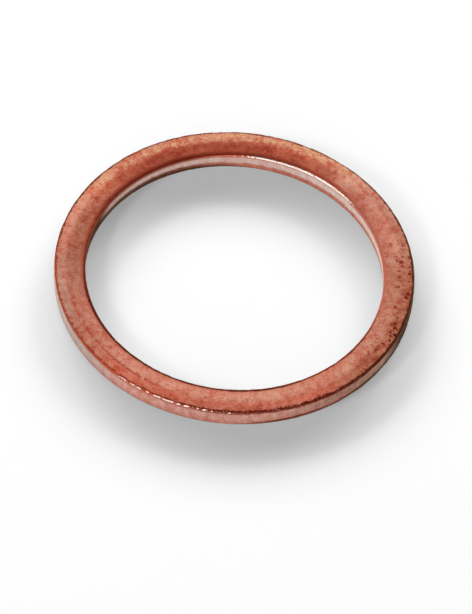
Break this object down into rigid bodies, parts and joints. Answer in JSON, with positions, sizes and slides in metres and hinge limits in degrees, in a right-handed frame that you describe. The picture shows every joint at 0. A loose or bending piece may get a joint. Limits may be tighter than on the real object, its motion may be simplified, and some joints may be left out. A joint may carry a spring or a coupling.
{
  "type": "copper crush washer",
  "caption": "Flat soft-copper ring that is crushed between a threaded plug's flange and its seat to seal the joint, with a crowned upper face, rolled upper edges and blanked walls.",
  "frame": {"origin": "on the axis of the hole, at the flat underside", "axes": "+Z along the axis of the hole, from the underside towards the crowned upper face; X and Y are alike"},
  "size_m": [0.027, 0.027, 0.0015],
  "materials": {
    "copper": "satin"
  },
  "bodies": {
    "root": {"sealing_ring": "copper"}
  },
  "joints": []
}
